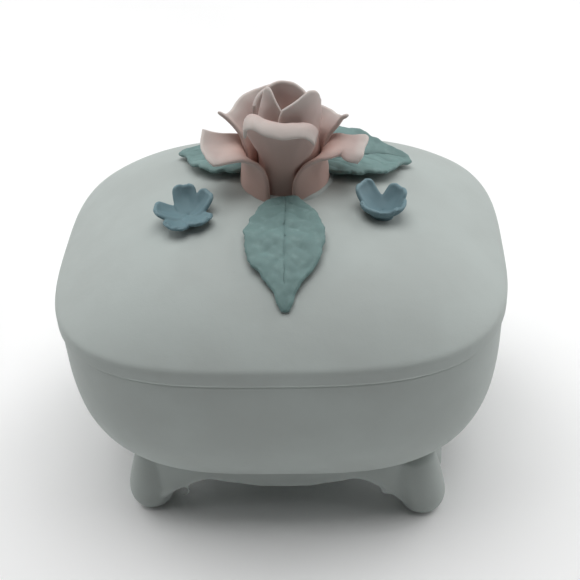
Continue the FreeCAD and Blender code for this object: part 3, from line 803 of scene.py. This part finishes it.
def leaf_relief(u, v):
    """How deep the midrib and the side veins are at (u, v), from 0 to 1."""
    rib = bump(u / (0.085 - 0.03 * v)) * smooth((0.92 - v) / 0.3)
    side = 0.0
    for start in VEINS:
        line = start + VEIN_SLANT * abs(u) ** 0.8
        side = max(side, bump((v - line) / 0.026) * smooth((1.0 - abs(u)) / 0.6))
    return rib, side


def make_leaf(name, leaf):
    bearing = math.radians(leaf["bearing"])
    out_x, out_y = math.cos(bearing), math.sin(bearing)

    def middle(u, v):
        along = (leaf["start"] + leaf["length"] * v) * MM
        aside = leaf["sweep"] * v * v * MM
        mid_x, mid_y = ROSE.x + along * out_x + aside * out_y, ROSE.y + along * out_y - aside * out_x
        nick = noise.noise(Vector((11 * v, math.copysign(2.0, u), leaf["seed"])))
        nick += 0.5 * noise.noise(Vector((27 * v, math.copysign(2.0, u), leaf["seed"] + 9)))
        ragged = 0.09 * nick * abs(u) ** 3 * smooth(v / 0.15) * smooth((0.95 - v) / 0.2)
        across = u * leaf["half"] * MM * (curve(LEAF_WIDTHS, v) + ragged)
        x, y = mid_x + across * out_y, mid_y - across * out_x
        ground = lid_height(x, y) * (1 - leaf["level"]) + lid_height(mid_x, mid_y) * leaf["level"]
        arch = 0.5 * (1 + u * u) * math.sin(math.pi * v)
        arch += leaf["raise_left"] * max(0.0, -u) * max(0.0, math.sin(math.pi * v)) ** 0.5
        rib, side = leaf_relief(u, v)
        place = Vector((x, y, leaf["seed"] * MM))
        crumple = 0.45 * noise.noise(place / (3.6 * MM)) + 0.16 * noise.noise(place / (1.3 * MM))
        wave = 0.35 * noise.noise(Vector((5 * v, math.copysign(4.0, u), leaf["seed"]))) * abs(u) ** 2
        z = ground + (leaf["lift"] + arch - 0.30 * rib - 0.15 * side + crumple + wave) * MM
        return Vector((x, y, z))

    def half_thick(u, v):
        return 0.46 * MM

    def width(v):
        return leaf["half"] * MM * curve(LEAF_WIDTHS, v)

    verts, faces, marks = pillow(middle, half_thick, 0.6 * MM, 72, 132, leaf["length"] * MM, width)
    vein_and_painted_shade = []
    for u, v, side in marks:
        rib, branch = leaf_relief(u, v)
        # Veins darken the upper face, and the leaf's painted shade for the rose's shadow darkens both faces all over.
        vein_and_painted_shade.append(max(leaf["painted_shade"], 0.8 * rib, 0.4 * branch) if side > 0 else leaf["painted_shade"])
    add_piece(name, verts, faces, MAT_LEAF, name, {"vein_and_painted_shade": vein_and_painted_shade})


# ---- small flowers --------------------------------------------------------------------------------------------
FLOWERS = {  # "petals" lists each one's bearing, reach, height and half-width, in degrees and millimetres
    "flower_left": {
        "x": -16.0, "y": -7.9, "foot": 1.5,
        "petals": [(104, 4.5, 4.5, 2.15), (38, 4.6, 4.0, 2.1), (186, 5.8, 2.9, 2.3), (246, 5.7, 1.7, 2.4), (310, 5.3, 2.3, 2.4)],
    },
    "flower_right": {
        "x": 18.9, "y": -6.9, "foot": 2.1,
        "petals": [(142, 4.6, 5.1, 2.5), (42, 4.4, 4.0, 2.3), (346, 4.0, 2.8, 2.2), (290, 3.5, 2.7, 2.3), (222, 3.8, 3.1, 2.5)],
    },
}
BLOSSOM_WIDTHS = [(0, 0.75), (0.25, 0.98), (0.45, 1.0), (0.68, 1.0), (0.84, 0.92), (0.94, 0.70), (1, 0.42)]


def blossom_petal(bearing, reach, height, half):
    """One cupped petal as a closed mesh about the middle of its blossom."""
    bearing = math.radians(bearing)
    out = Vector((math.cos(bearing), math.sin(bearing), 0))
    side = Vector((-math.sin(bearing), math.cos(bearing), 0))

    def middle(u, v):
        across = u * half * curve(BLOSSOM_WIDTHS, v)
        cupped = across * across / half
        r = reach * math.sin(0.5 * math.pi * v) - 0.24 * cupped
        z = 0.45 + (height - 0.45) * (1 - math.cos(0.5 * math.pi * v)) ** 0.8 + 0.20 * cupped
        r += 0.12 * noise.noise(Vector((2.1 * u, 2.4 * v, bearing * 3)))
        z += 0.20 * noise.noise(Vector((1.7 * u, 1.9 * v, bearing * 3 + 7)))
        return (out * r + side * across + Vector((0, 0, z))) * MM

    def width(v):
        return half * curve(BLOSSOM_WIDTHS, v) * MM

    def half_thick(u, v):
        return (0.50 - 0.12 * v) * MM

    verts, faces, marks = pillow(middle, half_thick, 0.5 * MM, 26, 30, reach * MM, width)
    return verts, faces


def make_flower(name, flower):
    parts = [blossom_petal(*sizes) for sizes in flower["petals"]]
    rows = []
    foot = flower["foot"]
    for share, height in catmull([(0.7, -1.6), (0.85, -1.0), (1.0, -0.2), (1.1, 0.4), (0.7, 0.75), (0.1, 0.65)], 4):
        row = []
        for i in range(32):
            angle = 2 * math.pi * i / 32
            row.append((foot * share * MM * math.cos(angle), foot * share * MM * math.sin(angle), height * MM))
        rows.append(row)
    parts.append(turned(rows))
    verts, faces = melted(join_raw(name + "_raw", parts), 0.13 * MM, 3)
    place = Vector((flower["x"] * MM, flower["y"] * MM, lid_height(flower["x"] * MM, flower["y"] * MM)))
    pale = [0.5 * smooth((v.z / MM - 1.8) / 2.4) for v in verts]
    verts = [tuple(v + place) for v in verts]
    add_piece(name, verts, faces, MAT_FLOWER, name, {"pale": pale})


# ---- stage ----------------------------------------------------------------------------------------------------
def make_stage():
    size = 1.2
    mesh = bpy.data.meshes.new("floor")
    mesh.from_pydata([(-size, -size, 0), (size, -size, 0), (size, size, 0), (-size, size, 0)], [], [(0, 1, 2, 3)])
    floor = bpy.data.objects.new("floor", mesh)
    bpy.context.scene.collection.objects.link(floor)
    n = Nodes("floor_paper")
    n.colour(n.mix(n.ramp(n.noise(60 * MM), 0.3, 0.7), (0.93, 0.93, 0.93), (0.95, 0.95, 0.95)))
    n.shader.inputs["Roughness"].default_value = 0.9
    mesh.materials.append(n.material)


def add_light(name, location, target, size, power):
    light = bpy.data.lights.new(name, "AREA")
    light.shape = "RECTANGLE"
    light.size, light.size_y = size
    light.energy = power
    lamp = bpy.data.objects.new(name, light)
    lamp.location = location
    lamp.rotation_euler = (Vector(target) - Vector(location)).to_track_quat("-Z", "Y").to_euler()
    bpy.context.scene.collection.objects.link(lamp)


LIGHTS = {  # place, size and power of each soft light
    "softbox_top": ((0.0, 0.05, 0.65), (0.6, 0.5), 3.3),
    "softbox_back_left": ((-0.45, 0.35, 0.35), (0.4, 0.4), 1.1),
    "softbox_back_right": ((0.45, 0.35, 0.35), (0.4, 0.4), 1.2),
    "softbox_left": ((-0.55, 0.02, 0.30), (0.4, 0.4), 0.65),
    "softbox_right": ((0.55, 0.02, 0.30), (0.4, 0.4), 0.75),
}


def make_lights():
    for name, (place, size, power) in LIGHTS.items():
        add_light(name, place, (0.0, 0.0, 0.04), size, power)
    world = bpy.data.worlds.new("studio")
    world.use_nodes = True
    world.node_tree.nodes["Background"].inputs["Color"].default_value = (1.0, 1.0, 1.0, 1.0)
    world.node_tree.nodes["Background"].inputs["Strength"].default_value = 0.03
    bpy.context.scene.world = world


def make_camera():
    """Camera in front of the box and well above it, very slightly turned and tilted."""
    azimuth, elevation, roll = math.radians(3.6), math.radians(38.1), math.radians(-3.06)
    distance = 0.225
    target = Vector((1.1 * MM, 0.0, 34.2 * MM))
    back = Vector((
        math.sin(azimuth) * math.cos(elevation), -math.cos(azimuth) * math.cos(elevation), math.sin(elevation)
    ))
    right = (-back).cross(Vector((0, 0, 1))).normalized()
    up = right.cross(-back)
    right, up = right * math.cos(roll) + up * math.sin(roll), up * math.cos(roll) - right * math.sin(roll)
    camera_data = bpy.data.cameras.new("camera")
    camera_data.sensor_width = 36.0
    camera_data.lens = 70.6
    camera_data.clip_start = 0.01
    camera = bpy.data.objects.new("camera", camera_data)
    camera.matrix_world = Matrix.Translation(target + back * distance) @ Matrix((right, up, back)).transposed().to_4x4()
    bpy.context.scene.collection.objects.link(camera)
    bpy.context.scene.camera = camera


make_bowl()
make_lid()
make_stand()
make_rose()
make_core()
make_collar()
for leaf_name, leaf_sizes in LEAVES.items():
    make_leaf(leaf_name, leaf_sizes)
for flower_name, flower_sizes in FLOWERS.items():
    make_flower(flower_name, flower_sizes)
make_stage()
make_lights()
make_camera()
bpy.context.scene.view_settings.view_transform = "Standard"
